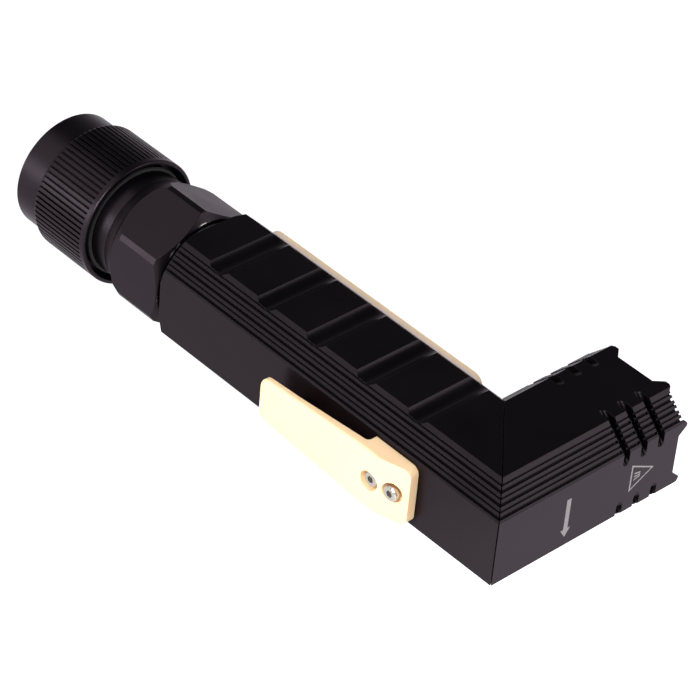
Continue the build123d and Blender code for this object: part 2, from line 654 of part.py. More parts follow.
def make_led_board():
    """Round metal core board."""
    board = ring(carrier_front, led_board_front, LED_BOARD_RADIUS)
    for spot in board_screw_spots():
        board -= spot * ring(carrier_front, led_board_front, BOARD_SCREW_SHANK)
    return HEAD * board


def make_board_screws():
    """Two pan head screws through the LED board."""
    radius, height = BOARD_SCREW_HEAD
    screws = []
    for spot in board_screw_spots():
        screw = ring(led_board_front, led_board_front + height, radius)
        screw += ring(carrier_back + 0.5, led_board_front, BOARD_SCREW_SHANK)
        screw -= Pos(0, 0, led_board_front + height) * Box(2 * radius, 0.4, 0.8)
        screws.append(HEAD * spot * screw)
    return Compound(screws)


def make_led_emitter():
    """Square LED package."""
    return HEAD * Pos(0, 0, led_board_front) * Box(EMITTER_SIZE, EMITTER_SIZE, EMITTER_THICKNESS,
                                                   align=FROM_BASE)


def make_led_dome():
    """Clear silicone dome on the package."""
    dome = Sphere(DOME_RADIUS) & Box(BIG, BIG, BIG, align=FROM_BASE)
    return HEAD * Pos(0, 0, led_board_front + EMITTER_THICKNESS) * dome


def make_centring_gasket():
    """White plastic ring that centres the reflector over the LED."""
    gasket = ring(led_board_front, gasket_front, GASKET_RADIUS)
    window = Box(2 * GASKET_WINDOW, 2 * GASKET_WINDOW, BIG)
    return HEAD * (gasket - window)


def make_reflector():
    """Turned reflector with a parabolic bowl, from the gasket to the lens."""
    length = lens_back - gasket_front
    outer = OPTICS_RADIUS - REFLECTOR_CLEARANCE
    slope = length / (REFLECTOR_MOUTH ** 2 - REFLECTOR_THROAT ** 2)
    control = ((REFLECTOR_MOUTH + REFLECTOR_THROAT) / 2, 0,
               gasket_front + slope * (REFLECTOR_THROAT * REFLECTOR_MOUTH - REFLECTOR_THROAT ** 2))
    throat = (REFLECTOR_THROAT, 0, gasket_front)
    mouth = (REFLECTOR_MOUTH, 0, lens_back)
    bowl = Bezier(throat, control, mouth)
    back = Polyline(mouth, (outer, 0, lens_back), (outer, 0, lens_back - REFLECTOR_RIM),
                    (GASKET_RADIUS, 0, gasket_front), throat)
    return HEAD * revolve(make_face([bowl, *back.edges()]), Axis.Z)


def make_front_lens():
    """Flat glass disc."""
    return HEAD * ring(lens_back, lens_front, OPTICS_RADIUS - REFLECTOR_CLEARANCE)


def make_lens_seal():
    """Rubber ring between lens and retaining ring."""
    return HEAD * rubber_ring(lens_front + LENS_SEAL_SECTION,
                              OPTICS_RADIUS - LENS_RING_WALL / 2, LENS_SEAL_SECTION)


def make_lens_ring():
    """Threaded ring that holds the lens."""
    return HEAD * ring(lens_ring_back, lens_ring_front, OPTICS_RADIUS, OPTICS_RADIUS - LENS_RING_WALL)


# ---- tail cap --------------------------------------------------------------------------
def make_tail_cap():
    """Knurled cap with a smooth lip, a seat for the magnet and a pocket for the switch."""
    hole = BUTTON_RADIUS + BUTTON_CLEARANCE
    magnet_in = hole + MAGNET_GAP
    magnet_out = magnet_in + MAGNET_WIDTH
    cap = turned([
        (0, hole), (0, magnet_in), (MAGNET_THICKNESS, magnet_in), (MAGNET_THICKNESS, magnet_out),
        (0, magnet_out), (0, cap_lip_radius - 0.3), (0.3, cap_lip_radius),
        (CAP_LIP_LENGTH, cap_lip_radius), (CAP_LIP_LENGTH, cap_radius), (CAP_LENGTH, cap_radius),
        (CAP_LENGTH, cap_mouth_radius), (CAP_LENGTH - CAP_MOUTH_DEPTH, cap_mouth_radius),
        (CAP_LENGTH - CAP_MOUTH_DEPTH, cap_bore), (switch_ring_end, cap_bore),
        (switch_ring_end, SWITCH_POCKET_RADIUS), (CAP_END_WALL, SWITCH_POCKET_RADIUS),
        (CAP_END_WALL, hole)])
    edges = cap.edges().filter_by(GeomType.CIRCLE).filter_by(lambda e: abs(e.radius - cap_radius) < 0.01)
    rear, mouth = edges.sort_by(Axis.Z)[0], edges.sort_by(Axis.Z)[-1]
    cap = fillet(rear, CAP_EDGE)
    cap = fillet(cap.edges().filter_by(GeomType.CIRCLE).filter_by(
        lambda e: abs(e.radius - cap_radius) < 0.01).sort_by(Axis.Z)[-1], CAP_MOUTH_WALL / 2)
    length = CAP_LENGTH - KNURL_MARGIN - CAP_LIP_LENGTH
    flute = Box(2 * KNURL_DEPTH, KNURL_WIDTH, length, align=FROM_BASE)
    cap -= [Pos(0, 0, CAP_LIP_LENGTH) * spot * flute for spot in PolarLocations(cap_radius, KNURL_COUNT)]
    return BODY * cap


def make_tail_magnet():
    """Ring magnet, flush with the tail face."""
    inner = BUTTON_RADIUS + BUTTON_CLEARANCE + MAGNET_GAP
    return BODY * ring(0, MAGNET_THICKNESS, inner + MAGNET_WIDTH, inner)


def make_boot_seal():
    """Rubber flange of the boot, clamped in the cap."""
    return BODY * ring(CAP_END_WALL, CAP_END_WALL + SEAL_FLANGE_THICKNESS, SWITCH_POCKET_RADIUS,
                       PLUNGER_RADIUS + 2 * BUTTON_CLEARANCE)


def make_switch_housing():
    """Switch body with a flange under the retaining ring."""
    start = CAP_END_WALL + SEAL_FLANGE_THICKNESS
    housing = ring(start, switch_front, SWITCH_POCKET_RADIUS)
    housing += ring(switch_front, switch_end, SWITCH_BODY_RADIUS)
    depth = BUTTON_TRAVEL + 1.5
    return BODY * (housing - ring(start, start + depth, PLUNGER_RADIUS + BUTTON_CLEARANCE))


def make_switch_ring():
    """Threaded brass ring that holds the switch."""
    return BODY * ring(switch_front, switch_ring_end, SWITCH_POCKET_RADIUS,
                       SWITCH_BODY_RADIUS + SWITCH_RING_CLEARANCE)


def make_switch_board():
    """Contact board on the switch, under the tail spring."""
    return BODY * ring(switch_end, tail_board_end, SWITCH_BODY_RADIUS)


def make_tail_spring():
    """Spring that presses on the cell."""
    return BODY * coil(tail_board_end, cell_start - SPRING_GAP, TAIL_SPRING_RADIUS, SPRING_WIRE,
                       TAIL_SPRING_TURNS)


# ---- button ----------------------------------------------------------------------------
def make_button_boot():
    """Rubber boot, flush with the tail face when released."""
    boot = ring(0, BUTTON_SKIRT, BUTTON_RADIUS)
    boot = fillet(boot.edges().filter_by(GeomType.CIRCLE).sort_by(Axis.Z)[0], BUTTON_EDGE)
    return BODY * (boot - ring(BUTTON_WALL, BUTTON_SKIRT, BUTTON_RADIUS - BUTTON_WALL))


def make_button_plunger():
    """Plastic pin between boot and switch."""
    return BODY * ring(BUTTON_WALL, CAP_END_WALL + SEAL_FLANGE_THICKNESS + 1.0, PLUNGER_RADIUS)


MAKERS = [
    make_body_shell, make_rear_collar, make_collar_seal, make_cap_seal, make_pocket_clip,
    make_clip_screws, make_side_strip, make_cell, make_cell_cap, make_front_spring,
    make_driver_board, make_driver_ring, make_driver_components, make_driver_leads,
    make_swivel_bush, make_swivel_washer, make_swivel_seal, make_detent_ball,
    make_detent_spring, make_head_shell, make_swivel_tube, make_swivel_nut, make_head_leads,
    make_led_carrier, make_led_board, make_board_screws, make_led_emitter, make_led_dome,
    make_centring_gasket, make_reflector, make_front_lens, make_lens_seal, make_lens_ring,
    make_tail_cap, make_tail_magnet, make_boot_seal, make_switch_housing, make_switch_ring,
    make_switch_board, make_tail_spring, make_button_boot, make_button_plunger,
]

os.makedirs("parts", exist_ok=True)
for maker in MAKERS:
    export_step(maker(), f"parts/{maker.__name__.removeprefix('make_')}.step")
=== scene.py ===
"""Looks of the right-angle torch: finishes, fine pieces, stage, lights and camera."""
import json
import logging
import math
from collections.abc import Callable, Iterable, Sequence
from dataclasses import dataclass, field
from enum import Enum
from typing import Any

import bmesh
import bpy
from mathutils import Matrix, Vector


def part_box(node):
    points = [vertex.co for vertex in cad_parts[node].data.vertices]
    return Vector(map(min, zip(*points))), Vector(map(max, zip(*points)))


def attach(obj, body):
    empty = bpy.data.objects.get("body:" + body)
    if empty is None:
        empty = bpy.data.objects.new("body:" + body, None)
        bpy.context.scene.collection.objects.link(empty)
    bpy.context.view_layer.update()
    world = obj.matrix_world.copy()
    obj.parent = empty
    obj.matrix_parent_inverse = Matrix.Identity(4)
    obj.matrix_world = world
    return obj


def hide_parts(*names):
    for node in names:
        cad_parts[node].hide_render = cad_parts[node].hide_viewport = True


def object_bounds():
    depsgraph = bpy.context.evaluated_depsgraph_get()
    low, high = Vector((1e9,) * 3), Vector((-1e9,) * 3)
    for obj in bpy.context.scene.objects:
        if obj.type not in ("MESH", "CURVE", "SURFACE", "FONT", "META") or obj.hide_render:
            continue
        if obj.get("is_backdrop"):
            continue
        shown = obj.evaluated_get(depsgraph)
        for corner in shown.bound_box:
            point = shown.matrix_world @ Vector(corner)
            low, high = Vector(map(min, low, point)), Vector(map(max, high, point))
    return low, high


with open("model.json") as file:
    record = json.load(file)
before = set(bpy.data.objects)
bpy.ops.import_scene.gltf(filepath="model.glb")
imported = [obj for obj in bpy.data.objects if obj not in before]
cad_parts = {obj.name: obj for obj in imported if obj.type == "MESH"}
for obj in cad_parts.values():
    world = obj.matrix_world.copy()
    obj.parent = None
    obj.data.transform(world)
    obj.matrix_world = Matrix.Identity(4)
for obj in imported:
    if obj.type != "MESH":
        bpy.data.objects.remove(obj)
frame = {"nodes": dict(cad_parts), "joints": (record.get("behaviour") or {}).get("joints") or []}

MM = 0.001
MICRON = 1e-6
GROOVE_SHADE_TONE = "#020202"     # painted shade: near black, for the bottom of a narrow groove
GROOVE_SHADE_FALL = 2.0           # power of the open share, so that the painted shade stays light in shallow hollows
GROOVE_SHADE_SAMPLES = 6
EDGE_SAMPLES = 4
GRAIN_DETAIL, GRAIN_ROUGHNESS = 3.0, 0.6
PATCH_DETAIL = 2.0
PATCH_RANGE = (0.3, 0.7)    # where nearly all of the patch noise lies
TOOL_DETAIL = 2.0
LOG = logging.getLogger("torch")
Outline = Sequence[tuple[float, float]]


class Node(Enum):
    """Short names for the shader nodes that the finishes and the sky use."""

    BACKGROUND = "ShaderNodeBackground"
    BEVEL = "ShaderNodeBevel"
    BUMP = "ShaderNodeBump"
    COORDINATES = "ShaderNodeTexCoord"
    JOIN = "ShaderNodeCombineXYZ"
    LIGHT_PATH = "ShaderNodeLightPath"
    MAPPING = "ShaderNodeMapping"
    MATH = "ShaderNodeMath"
    MIX = "ShaderNodeMix"
    NOISE = "ShaderNodeTexNoise"
    OCCLUSION = "ShaderNodeAmbientOcclusion"
    OUTPUT = "ShaderNodeOutputMaterial"
    PRINCIPLED = "ShaderNodeBsdfPrincipled"
    RANGE = "ShaderNodeMapRange"
    SPLIT = "ShaderNodeSeparateXYZ"
    VECTOR = "ShaderNodeVectorMath"
    WORLD_OUTPUT = "ShaderNodeOutputWorld"


def linear(code: str) -> tuple[float, float, float, float]:
    """Turns an sRGB hex colour into Blender's linear colour.

    Args:
        code: colour such as "#F5D5B8".

    Returns:
        Linear red, green, blue and an alpha of one.
    """
    parts = [int(code[i:i + 2], 16) / 255 for i in (1, 3, 5)]
    red, green, blue = (c / 12.92 if c <= 0.04045 else ((c + 0.055) / 1.055) ** 2.4 for c in parts)
    return red, green, blue, 1.0


def add(tree: bpy.types.NodeTree, kind: Node, sockets: dict[str | int, Any] | None = None,
        **settings: Any) -> bpy.types.Node:
    """Adds one node with its settings, and sets or links its inputs.

    Args:
        tree: node tree that the node goes into.
        kind: which node.
        sockets: input name or number, and a constant or the output to link to it.
        **settings: properties of the node itself.

    Returns:
        The new node.
    """
    node = tree.nodes.new(kind.value)
    for name, value in settings.items():
        setattr(node, name, value)
    for key, value in (sockets or {}).items():
        if isinstance(value, bpy.types.NodeSocket):
            tree.links.new(value, node.inputs[key])
        else:
            node.inputs[key].default_value = value
    return node


# ---- finishes --------------------------------------------------------------------------
class Lay(Enum):
    """Which way a tool left its marks on a surface."""

    NONE = None
    X = (1.0, 0.0, 0.0)
    Y = (0.0, 1.0, 0.0)


@dataclass(frozen=True)
class Finish:
    """A finish of one real material, as a node material in millimetres.

    Two tones drift across the surface in patches, a fine grain gives the bump, tool marks
    run round the piece where it was turned, and narrow grooves get painted shade inside.
    """

    name: str
    tone: str
    second: str
    metallic: float = 0.0
    roughness: float = 0.4
    spread: float = 0.08
    patch_mm: float = 9.0
    grain_mm: float = 0.3
    grain_um: float = 6.0
    tool_mm: float = 0.0
    tool_um: float = 4.0
    lay: Lay = Lay.NONE
    edge_mm: float = 0.12
    groove_shade_mm: float = 0.0
    extra: dict[str, Any] = field(default_factory=dict)

    def material(self) -> bpy.types.Material:
        """Returns the finish as a material, built once and then shared."""
        if self.name in bpy.data.materials:
            return bpy.data.materials[self.name]
        made = bpy.data.materials.new(self.name)
        made.use_nodes = True
        tree = made.node_tree
        tree.nodes.clear()
        shader = self.shade(tree)
        add(tree, Node.OUTPUT, {"Surface": shader.outputs[0]})
        made.diffuse_color = linear(self.tone)
        return made

    def place(self, tree: bpy.types.NodeTree) -> bpy.types.NodeSocket:
        """Returns the point on the object in millimetres."""
        point = add(tree, Node.COORDINATES).outputs["Object"]
        return add(tree, Node.MAPPING, {"Vector": point, "Scale": (1 / MM,) * 3}).outputs[0]

    def colour(self, tree: bpy.types.NodeTree, place: bpy.types.NodeSocket,
               patch: bpy.types.NodeSocket) -> bpy.types.NodeSocket:
        """Mixes the two tones by the patches, and paints shade into narrow grooves.

        Args:
            tree: node tree of the material.
            place: point in millimetres.
            patch: slow noise between 0 and 1.

        Returns:
            The colour output.
        """
        mixed = add(tree, Node.MIX, {"Factor": patch, "A": linear(self.tone),
                                     "B": linear(self.second)}, data_type="RGBA").outputs["Result"]
        if not self.groove_shade_mm:
            return mixed
        # Painted shade: the less open the surroundings within groove_shade_mm, the nearer the colour goes to
        # GROOVE_SHADE_TONE.
        open_share = add(tree, Node.OCCLUSION, {"Distance": self.groove_shade_mm * MM},
                         samples=GROOVE_SHADE_SAMPLES).outputs["AO"]
        share = add(tree, Node.MATH, {0: open_share, 1: GROOVE_SHADE_FALL}, operation="POWER").outputs[0]
        return add(tree, Node.MIX, {"Factor": share, "A": linear(GROOVE_SHADE_TONE), "B": mixed},
                   data_type="RGBA").outputs["Result"]

    def relief(self, tree: bpy.types.NodeTree,
               place: bpy.types.NodeSocket) -> bpy.types.NodeSocket:
        """Height of grain and tool marks.

        Args:
            tree: node tree of the material.
            place: point in millimetres.

        Returns:
            The height output, in micrometres.
        """
        grain = add(tree, Node.NOISE, {"Vector": place, "Scale": 1 / self.grain_mm,
                                       "Detail": GRAIN_DETAIL, "Roughness": GRAIN_ROUGHNESS}).outputs[0]
        height = add(tree, Node.MATH, {0: grain, 1: self.grain_um}, operation="MULTIPLY").outputs[0]
        if self.lay is Lay.NONE:
            return height
        station = add(tree, Node.VECTOR, {0: place, 1: self.lay.value},
                      operation="DOT_PRODUCT").outputs["Value"]
        station = add(tree, Node.MATH, {0: station, 1: 1 / self.tool_mm},
                      operation="MULTIPLY").outputs[0]
        lines = add(tree, Node.NOISE, {"W": station, "Scale": 1.0, "Detail": TOOL_DETAIL},
                    noise_dimensions="1D").outputs[0]
        return add(tree, Node.MATH, {0: lines, 1: self.tool_um, 2: height},
                   operation="MULTIPLY_ADD").outputs[0]

    def shade(self, tree: bpy.types.NodeTree) -> bpy.types.Node:
        """Builds the shader.

        Args:
            tree: node tree of the material.

        Returns:
            The Principled node.
        """
        place = self.place(tree)
        patch = add(tree, Node.NOISE, {"Vector": place, "Scale": 1 / self.patch_mm,
                                       "Detail": PATCH_DETAIL}).outputs[0]
        gloss = add(tree, Node.RANGE, {"Value": patch, "From Min": PATCH_RANGE[0], "From Max": PATCH_RANGE[1],
                                       "To Min": self.roughness - self.spread / 2,
                                       "To Max": self.roughness + self.spread / 2}).outputs[0]
        rounded = add(tree, Node.BEVEL, {"Radius": self.edge_mm * MM}, samples=EDGE_SAMPLES).outputs[0]
        normal = add(tree, Node.BUMP, {"Height": self.relief(tree, place), "Normal": rounded,
                                       "Distance": MICRON, "Strength": 1.0}).outputs[0]
        return add(tree, Node.PRINCIPLED, {"Base Color": self.colour(tree, place, patch),
                                           "Metallic": self.metallic, "Roughness": gloss,
                                           "Normal": normal, **self.extra})


@dataclass(frozen=True)
class CutEdgeAnodising(Finish):
    """Anodised aluminium cut at its end after dyeing, so bare metal shows there in dashes."""

    cut_at_mm: float = 0.0
    cut_run_mm: float = 0.13
    cut_radius_mm: float = 13.0
    worn_per_mm: float = 0.45
    worn_from: tuple[float, float] = (0.5, 0.62)
    bare: str = "#B8B0AC"

    def colour(self, tree: bpy.types.NodeTree, place: bpy.types.NodeSocket,
               patch: bpy.types.NodeSocket) -> bpy.types.NodeSocket:
        """Shows bare metal on the turned edge, and the dyed tones elsewhere.

        Args:
            tree: node tree of the material.
            place: point in millimetres.
            patch: slow noise between 0 and 1.

        Returns:
            The colour output.
        """
        dyed = super().colour(tree, place, patch)
        parts = add(tree, Node.SPLIT, {0: place}).outputs
        away = add(tree, Node.MATH, {0: parts[0], 1: self.cut_at_mm, 2: self.cut_run_mm},
                   operation="COMPARE").outputs[0]
        across = add(tree, Node.JOIN, {1: parts[1], 2: parts[2]}).outputs[0]
        radius = add(tree, Node.VECTOR, {0: across}, operation="LENGTH").outputs["Value"]
        outside = add(tree, Node.MATH, {0: radius, 1: self.cut_radius_mm},
                      operation="GREATER_THAN").outputs[0]
        chatter = add(tree, Node.NOISE, {"Vector": place, "Scale": self.worn_per_mm}).outputs[0]
        worn = add(tree, Node.RANGE, {"Value": chatter, "From Min": self.worn_from[0],
                                      "From Max": self.worn_from[1]}).outputs[0]
        edge = add(tree, Node.MATH, {0: away, 1: outside}, operation="MULTIPLY").outputs[0]
        bare = add(tree, Node.MATH, {0: edge, 1: worn}, operation="MULTIPLY").outputs[0]
        return add(tree, Node.MIX, {"Factor": bare, "A": dyed, "B": linear(self.bare)},
                   data_type="RGBA").outputs["Result"]


@dataclass(frozen=True)
class LayeredPlastic(Finish):
    """Moulded plastic in two shots: a base layer and a cover of another tone."""

    cover: str = "#F9DDB8"
    split_at_mm: float = 15.1
    blur_mm: float = 0.25

    def colour(self, tree: bpy.types.NodeTree, place: bpy.types.NodeSocket,
               patch: bpy.types.NodeSocket) -> bpy.types.NodeSocket:
        """Turns from the base layer's tones to the cover's above the split.

        Args:
            tree: node tree of the material.
            place: point in millimetres.
            patch: slow noise between 0 and 1.

        Returns:
            The colour output.
        """
        base = super().colour(tree, place, patch)
        height = add(tree, Node.SPLIT, {0: place}).outputs[1]
        share = add(tree, Node.RANGE, {"Value": height, "From Min": self.split_at_mm - self.blur_mm,
                                       "From Max": self.split_at_mm + self.blur_mm}).outputs[0]
        return add(tree, Node.MIX, {"Factor": share, "A": base, "B": linear(self.cover)},
                   data_type="RGBA").outputs["Result"]


@dataclass(frozen=True)
class GlowPaintedPaper(Finish):
    """Paper with a painted glow and no lamp behind it, so it takes no shadow, and brighter beyond the elbow.
    """

    glow: tuple[float, float] = (1.03, 1.75)
    rise_mm: tuple[float, float] = (110.0, 165.0)

    def shade(self, tree: bpy.types.NodeTree) -> bpy.types.Node:
        """Adds the painted glow to the paper, stronger beyond the elbow.

        Args:
            tree: node tree of the material.

        Returns:
            The Principled node.
        """
        shader = super().shade(tree)
        along = add(tree, Node.SPLIT, {0: self.place(tree)}).outputs[0]
        glow = add(tree, Node.RANGE, {"Value": along, "From Min": self.rise_mm[0],
                                      "From Max": self.rise_mm[1], "To Min": self.glow[0],
                                      "To Max": self.glow[1]}).outputs[0]
        tree.links.new(glow, shader.inputs["Emission Strength"])
        return shader


# White paper with a painted glow instead of a backlight: it gives a ground without shadow, brighter beyond
# the elbow, and soft reflections in the sides.
PAPER = GlowPaintedPaper("paper_painted_glow", tone="#3A3A3A", second="#383838", roughness=0.9, patch_mm=400.0,
                 grain_mm=2.0, grain_um=2.0, edge_mm=0.01,
                 extra={"Emission Color": linear("#FFFFFF")})
# Edge tint of the anodising: what it reflects at a flat angle keeps a faint violet.
DYE_EDGE = {"Specular Tint": linear("#E1DBE1")}
# Black anodised aluminium, bead blasted: a dark, faintly violet satin that mirrors broad
# shapes softly. The grain is drawn three times coarser than the real beads so that it shows.
# Narrow grooves in the shell get painted shade, reaching 1.4 mm.
ANODISED = Finish("anodised_blasted", tone="#252024", second="#2B262A", metallic=0.95,
                  roughness=0.32, spread=0.06, grain_mm=0.22, grain_um=3.0, patch_mm=14.0,
                  edge_mm=0.14, groove_shade_mm=1.4, extra=DYE_EDGE)
# The same anodising on a lathe-turned surface: fine rings catch light in lines. The
# feed isn't known; one fine enough for this gloss wouldn't show, so it is drawn at 0.12 mm.
# Its grooves get painted shade too, reaching 1.0 mm.
TURNED = dict(tone="#282227", second="#302A2F", metallic=0.95, roughness=0.34, grain_mm=0.25,
              grain_um=2.0, lay=Lay.X, tool_mm=0.12, tool_um=2.5, edge_mm=0.12, groove_shade_mm=1.0,
              extra=DYE_EDGE)
ANODISED_TURNED = Finish("anodised_turned", **TURNED)
COLLAR_TURNED = CutEdgeAnodising("anodised_turned_cut_end", **TURNED, cut_at_mm=48.0)
# Polypropylene, injection moulded: soft cream with light bleeding a little way in.
MOULDED = Finish("polypropylene_moulded", tone="#F6D4AC", second="#F3CEA4", roughness=0.42,
                 patch_mm=16.0, grain_mm=0.35, grain_um=5.0, edge_mm=0.2,
                 extra={"Subsurface Weight": 0.35, "Subsurface Radius": (1.0, 0.55, 0.3),
                        "Subsurface Scale": 1.6 * MM, "IOR": 1.49})
# The same plastic in two shots: a pale pink base and a cream cover with a soft join.
STRIP = LayeredPlastic("polypropylene_two_shot", tone="#F7E2DC", second="#F4DCD2",
                       roughness=0.42, grain_mm=0.35, grain_um=4.0, edge_mm=0.2,
                       extra={"Subsurface Weight": 0.3, "Subsurface Radius": (1.0, 0.55, 0.3),
                              "Subsurface Scale": 1.6 * MM, "IOR": 1.49})
# Nitrile rubber, moulded: deep matt black with a dusty grain.
RUBBER = Finish("nitrile_rubber_moulded", tone="#111112", second="#171718", roughness=0.85,
                grain_mm=0.4, grain_um=12.0, edge_mm=0.1, extra={"IOR": 1.52})
# Stainless steel, cold headed: bright, with scratches from handling.
STEEL = Finish("stainless_steel_headed", tone="#C9C5C0", second="#B5B0AA", metallic=1.0,
               roughness=0.24, grain_mm=0.2, grain_um=3.0, edge_mm=0.08)
# Stainless steel, turned: a touch more neutral than the headed one, with fine rings.
TURNED_STEEL = Finish("stainless_steel_turned", tone="#C4C2C0", second="#AEACAA", metallic=1.0,
                      roughness=0.28, grain_mm=0.3, grain_um=2.0, lay=Lay.X, tool_mm=0.1)
# Music wire, drawn: grey steel, darker in small patches.
SPRING = Finish("music_wire_drawn", tone="#B8B6B2", second="#8F8C86", metallic=1.0, roughness=0.3,
                patch_mm=2.0, grain_mm=0.15, grain_um=2.0, edge_mm=0.02)
# Nickel on steel or on a sintered magnet: a warm mirror, a little hazy.
NICKEL = Finish("nickel_plate_barrel", tone="#C8C2B4", second="#B9B09E", metallic=1.0,
                roughness=0.18, grain_mm=0.5, grain_um=2.0, edge_mm=0.15)
# Brass, turned: a warm yellow metal with fine tool rings.
BRASS = Finish("brass_turned", tone="#D9B45F", second="#C49A45", metallic=1.0, roughness=0.27,
               grain_mm=0.3, grain_um=2.0, lay=Lay.X, tool_mm=0.12)
# Bare aluminium, turned: pale metal with rings round the lens axis.
TURNED_ALUMINIUM = Finish("aluminium_turned", tone="#DADADB", second="#C6C6C8", metallic=1.0,
                          roughness=0.3, grain_mm=0.3, grain_um=1.5, lay=Lay.Y, tool_mm=0.12)
# Black anodised ring, turned about the lens axis: a little glossier than the shell.
LENS_RING_BLACK = Finish("anodised_turned_ring", tone="#2A2629", second="#343034", metallic=0.9,
                         roughness=0.3, grain_mm=0.25, grain_um=1.5, lay=Lay.Y, tool_mm=0.1)
# PVC sleeve, heat shrunk: blue and glossy, with slow ripples.
SLEEVE = Finish("pvc_shrink_sleeve", tone="#1F4F96", second="#1A4586", roughness=0.25,
                patch_mm=12.0, grain_mm=1.5, grain_um=8.0, extra={"IOR": 1.53})
# Black nylon, moulded: a dull sheen over a slight texture.
BLACK_NYLON = Finish("nylon_moulded", tone="#1C1C1E", second="#242426", roughness=0.5,
                     grain_mm=0.3, grain_um=6.0, extra={"IOR": 1.53})
# Silicone lead jacket, extruded: red and slightly waxy.
JACKET = Finish("silicone_jacket", tone="#A01818", second="#8E1414", roughness=0.5,
                grain_mm=0.5, grain_um=6.0, extra={"IOR": 1.41})
# Natural acetal: a milky white with a soft gloss.
ACETAL = Finish("acetal_natural", tone="#ECEAE2", second="#E2DFD4", roughness=0.38,
                grain_mm=0.4, grain_um=4.0, extra={"IOR": 1.48})
# White solder mask on a metal core board: bright, even and lightly glossy.
WHITE_MASK = Finish("solder_mask_white", tone="#EEEDE8", second="#E3E1DA", roughness=0.35,
                    grain_mm=0.3, grain_um=5.0, extra={"IOR": 1.5})
# Green solder mask on a circuit board: glossy, its tone uneven as it is over copper.
GREEN_MASK = Finish("solder_mask_green", tone="#14552C", second="#1B6636", roughness=0.3,
                    patch_mm=1.2, grain_mm=0.3, grain_um=8.0, extra={"IOR": 1.5})
# Alumina, sintered: a chalky cream white.
CERAMIC = Finish("alumina_sintered", tone="#EFEBDD", second="#E4DFCD", roughness=0.5,
                 grain_mm=0.15, grain_um=5.0, extra={"IOR": 1.76})
# The phosphor layer on the LED's chip: chalky yellow until it is lit.
PHOSPHOR = Finish("phosphor_in_silicone", tone="#E8C83A", second="#DDB82E", roughness=0.55,
                  patch_mm=0.6, grain_mm=0.08, grain_um=6.0, extra={"IOR": 1.5})
# Optical silicone: clear and faintly warm.
SILICONE_LENS = Finish("silicone_clear", tone="#FFFBE8", second="#FFF7DC", roughness=0.05,
                       spread=0.02, grain_mm=1.0, grain_um=0.5, edge_mm=0.01,
                       extra={"IOR": 1.41, "Transmission Weight": 1.0})
# Coated glass: clear, with a faint blue in what it reflects.
GLASS = Finish("glass_coated", tone="#F4FAFF", second="#EEF6FF", roughness=0.02, spread=0.01,
               grain_mm=3.0, grain_um=0.2, edge_mm=0.05,
               extra={"IOR": 1.45, "Transmission Weight": 1.0, "Specular Tint": linear("#B9C8FF")})
# Vacuum-metallised reflector with a light orange peel that evens out the beam.
METALLISED = Finish("aluminium_vapour_coat", tone="#EDEDEF", second="#E4E4E8", metallic=1.0,
                    roughness=0.06, spread=0.03, grain_mm=0.9, grain_um=14.0, edge_mm=0.05)
# Laser marking burns the dye to pale grey in fine passes.
LASER_MARK = Finish("laser_marked_oxide", tone="#878285", second="#7C777A", metallic=0.1,
                    roughness=0.55, patch_mm=0.8, grain_mm=0.12, grain_um=3.0, lay=Lay.Y,
                    tool_mm=0.15, tool_um=3.0, edge_mm=0.01)


def dress(names: Iterable[str], finish: Finish) -> None:
    """Gives CAD nodes a finish.

    Args:
        names: CAD nodes.
        finish: what they are made of.
    """
    for name in names:
        node = frame["nodes"][name]
        node.data.materials.clear()
        node.data.materials.append(finish.material())
        LOG.info("dressed %s in %s", name, finish.name)


def piece(name: str, mesh: bpy.types.Mesh, finish: Finish, body: str,
          stands_for: Sequence[str] = ()) -> bpy.types.Object:
    """Turns a mesh in the row frame into a finished piece on a body.

    Args:
        name: name of the piece.
        mesh: mesh in metres, in the row frame.
        finish: what it is made of.
        body: CAD body that it rides on.
        stands_for: CAD nodes that it replaces.

    Returns:
        The new object.
    """
    made = bpy.data.objects.new(name, mesh)
    bpy.context.scene.collection.objects.link(made)
    mesh.materials.append(finish.material())
    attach(made, body)
    if stands_for:
        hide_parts(*stands_for)
    LOG.info("built %s, %d faces", name, len(mesh.polygons))
    return made


def plate(name: str, outlines: Sequence[Outline], to_world: Callable[[float, float, float], Vector],
          thickness: float) -> bpy.types.Mesh:
    """Extrudes flat outlines into thin plates.

    Args:
        name: name of the mesh.
        outlines: closed outlines in millimetres.
        to_world: turns across, up and height in millimetres into a point in metres.
        thickness: height of the plates in millimetres.

    Returns:
        The mesh.
    """
    shape = bmesh.new()
    for outline in outlines:
        low = [shape.verts.new(to_world(a, b, 0.0)) for a, b in outline]
        high = [shape.verts.new(to_world(a, b, thickness)) for a, b in outline]
        count = len(outline)
        shape.faces.new(low[::-1])
        shape.faces.new(high)
        for i in range(count):
            j = (i + 1) % count
            shape.faces.new((low[i], low[j], high[j], high[i]))
    bmesh.ops.recalc_face_normals(shape, faces=shape.faces)
    mesh = bpy.data.meshes.new(name)
    shape.to_mesh(mesh)
    shape.free()
    return mesh


def lathe(name: str, profile: Outline, axis_point: Vector, steps: int = 96) -> bpy.types.Mesh:
    """Spins a closed outline round a line along X.

    Args:
        name: name of the mesh.
        profile: closed outline of station and radius in millimetres, radius over zero.
        axis_point: a point on the axis, in metres.
        steps: faces round the axis.

    Returns:
        The mesh, smooth shaded.
    """
    shape = bmesh.new()
    rings = []
    for k in range(steps):
        turn = 2 * math.pi * k / steps
        rings.append([shape.verts.new(axis_point + MM * Vector((x, r * math.cos(turn), r * math.sin(turn))))
                      for x, r in profile])
    for k in range(steps):
        here, there = rings[k], rings[(k + 1) % steps]
        for i in range(len(profile)):
            j = (i + 1) % len(profile)
            shape.faces.new((here[i], here[j], there[j], there[i]))
    bmesh.ops.recalc_face_normals(shape, faces=shape.faces)
    mesh = bpy.data.meshes.new(name)
    shape.to_mesh(mesh)
    shape.free()
    mesh.polygons.foreach_set("use_smooth", [True] * len(mesh.polygons))
    return mesh


